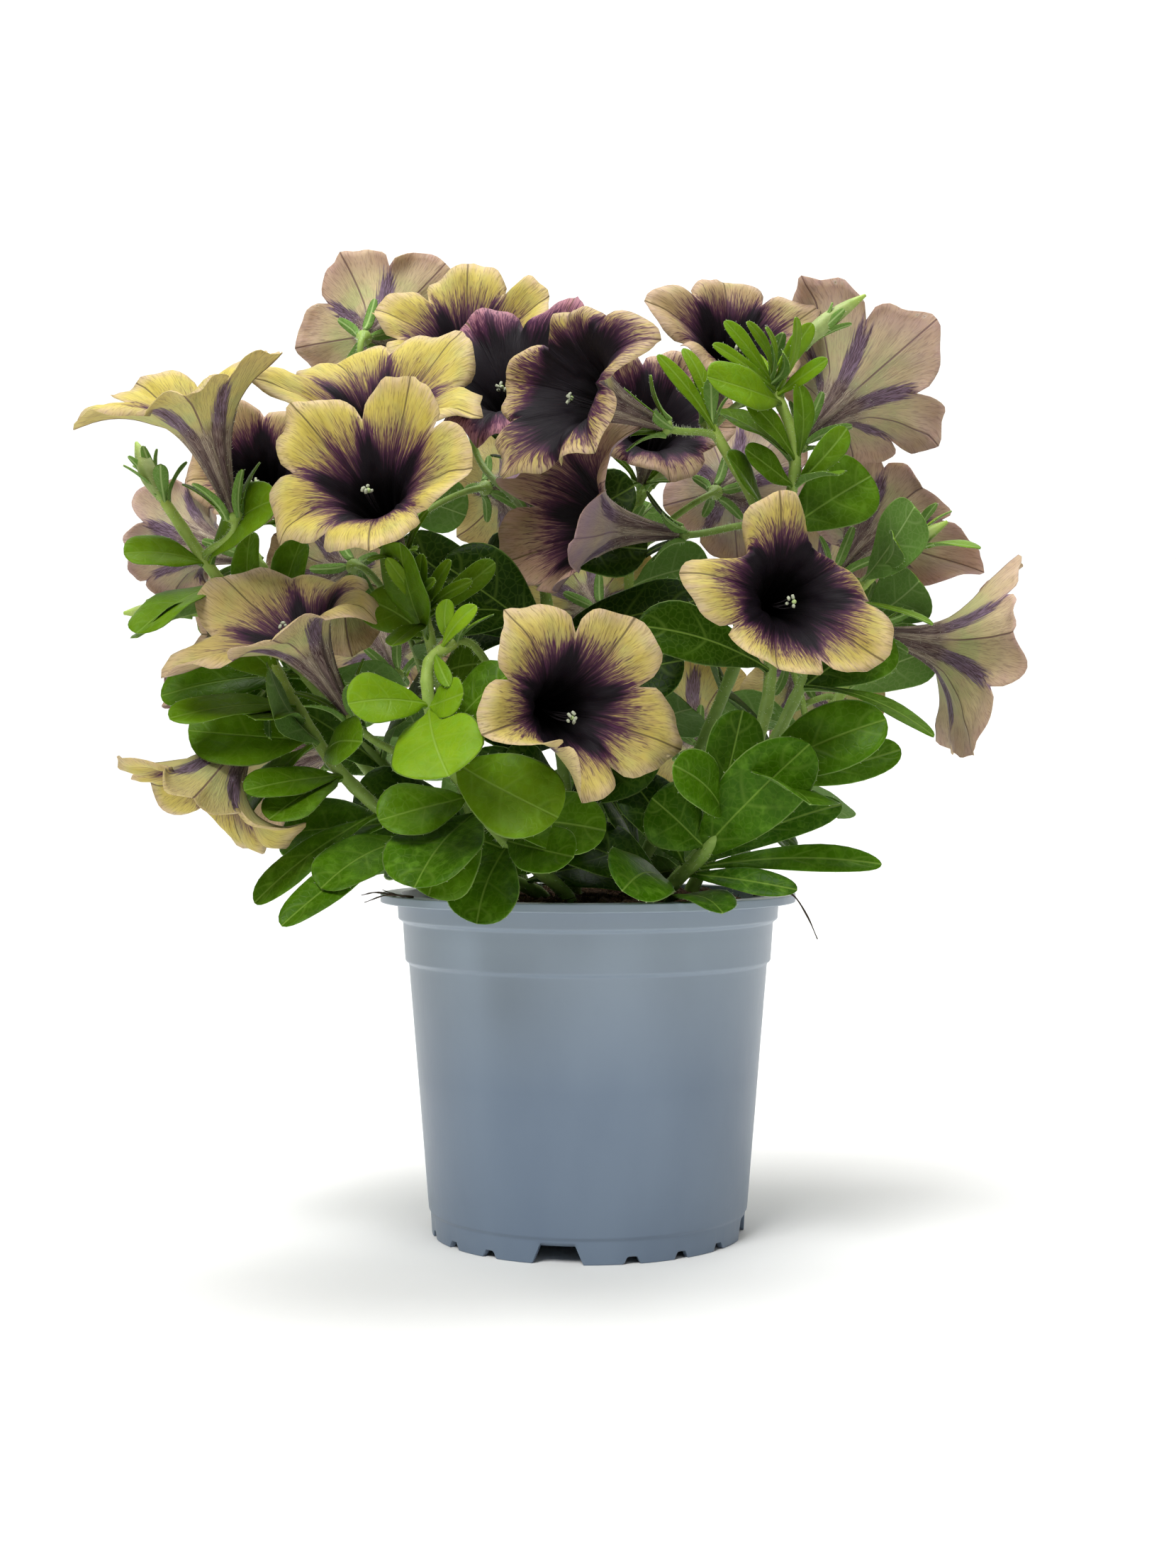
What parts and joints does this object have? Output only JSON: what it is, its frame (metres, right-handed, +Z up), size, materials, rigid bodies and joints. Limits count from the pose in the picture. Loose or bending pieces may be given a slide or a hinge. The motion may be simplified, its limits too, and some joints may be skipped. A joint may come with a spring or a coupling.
{
  "type": "potted petunia",
  "caption": "Bushy bedding petunia in bloom, with trumpet flowers and broad leaves, growing in peat in a round nursery pot.",
  "frame": {"origin": "on the pot's axis at the surface that the pot stands on; the plant's extents are balanced about that axis to within 2.5 mm", "axes": "+Z up along the pot's axis; -Y towards the front of the plant, as pictured; +X to the right seen from the front"},
  "size_m": [0.2837, 0.2316, 0.3189],
  "materials": {
    "pot_plastic": "satin blue-grey moulded plastic",
    "peat": "crumbly dark brown peat",
    "foliage": "glossy green leaves on soft, finely hairy stems",
    "petal": "velvety yellow petals with a dark purple throat"
  },
  "bodies": {
    "root": {"pot": "pot_plastic", "soil": "peat", "stem_left": "foliage", "stem_left_low": "foliage", "stem_front": "foliage", "stem_hero": "foliage", "stem_knee": "foliage", "stem_right_crown": "foliage", "stem_right": "foliage", "stem_centre": "foliage", "stem_far_left": "foliage", "stem_back_left": "foliage", "stem_back": "foliage", "stem_back_right": "foliage", "stem_back_low": "foliage", "bloom_left_1": "petal", "bloom_left_low_1": "petal", "bloom_front_1": "petal", "bloom_hero_1": "petal", "bloom_hero_2": "petal", "bloom_hero_3": "petal", "bloom_knee_1": "petal", "bloom_knee_2": "petal", "bloom_knee_3": "petal", "bloom_right_crown_1": "petal", "bloom_right_crown_2": "petal", "bloom_right_1": "petal", "bloom_right_2": "petal", "bloom_centre_1": "petal", "bloom_centre_2": "petal", "bloom_far_left_1": "petal", "bloom_far_left_2": "petal", "bloom_far_left_3": "petal", "bloom_back_left_1": "petal", "bloom_back_left_2": "petal", "bloom_back_left_3": "petal", "bloom_back_1": "petal", "bloom_back_2": "petal", "bloom_back_3": "petal", "bloom_back_right_1": "petal", "bloom_back_right_2": "petal", "bloom_back_right_3": "petal", "bloom_back_low_1": "petal", "bloom_back_low_2": "petal"}
  },
  "joints": []
}
